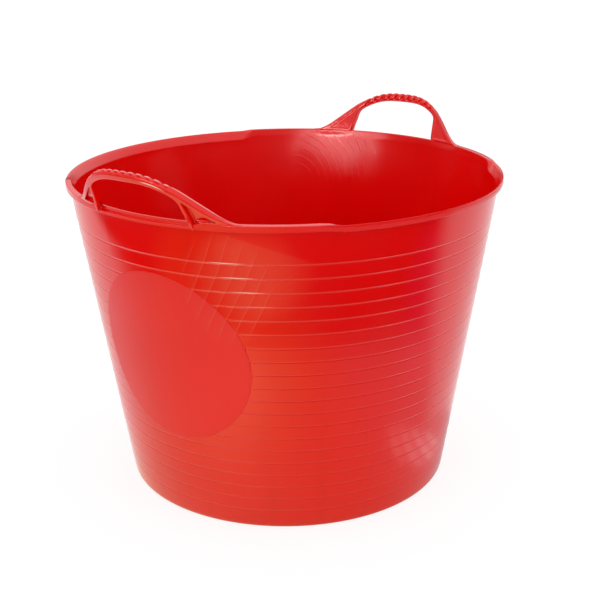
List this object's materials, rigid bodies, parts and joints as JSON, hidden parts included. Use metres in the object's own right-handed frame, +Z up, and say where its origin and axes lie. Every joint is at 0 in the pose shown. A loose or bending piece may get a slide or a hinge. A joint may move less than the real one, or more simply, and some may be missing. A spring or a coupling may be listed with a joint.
{
  "type": "flexible tub",
  "caption": "Flexible round tub with a ledged, tapered wall, pouring lips and loop handles on the rim, for feed, water and mixing.",
  "frame": {"origin": "centre of the underside", "axes": "+Z up the tub's axis, +Y through the back handle, -Y through the front handle, +X through a pouring lip"},
  "size_m": [0.4548, 0.4974, 0.374],
  "materials": {
    "moulded_plastic": "satin-gloss, soft low-density polyethylene"
  },
  "bodies": {
    "tub": {"base_pan": "moulded_plastic", "tub_wall": "moulded_plastic", "pouring_lip_left": "moulded_plastic", "pouring_lip_right": "moulded_plastic", "handle_rim_front": "moulded_plastic", "handle_rim_back": "moulded_plastic", "front_root_left": "moulded_plastic", "front_root_right": "moulded_plastic", "back_root_left": "moulded_plastic", "back_root_right": "moulded_plastic"},
    "front_handle": {"front_grip": "moulded_plastic", "front_leg_left": "moulded_plastic", "front_leg_right": "moulded_plastic"},
    "back_handle": {"back_grip": "moulded_plastic", "back_leg_left": "moulded_plastic", "back_leg_right": "moulded_plastic"}
  },
  "joints": [
    {"name": "front_handle_flex", "type": "hinge", "parent": "tub", "child": "front_handle", "pos_m": [0, -0.21929, 0.337], "axis": [-1, 0, 0], "range_deg": [-25, 60], "stiffness_Nm_per_rad": 0.6, "deforming": ["front_root_left", "front_root_right"]},
    {"name": "back_handle_flex", "type": "hinge", "parent": "tub", "child": "back_handle", "pos_m": [0, 0.21929, 0.337], "axis": [1, 0, 0], "range_deg": [-25, 60], "stiffness_Nm_per_rad": 0.6, "deforming": ["back_root_left", "back_root_right"]}
  ]
}
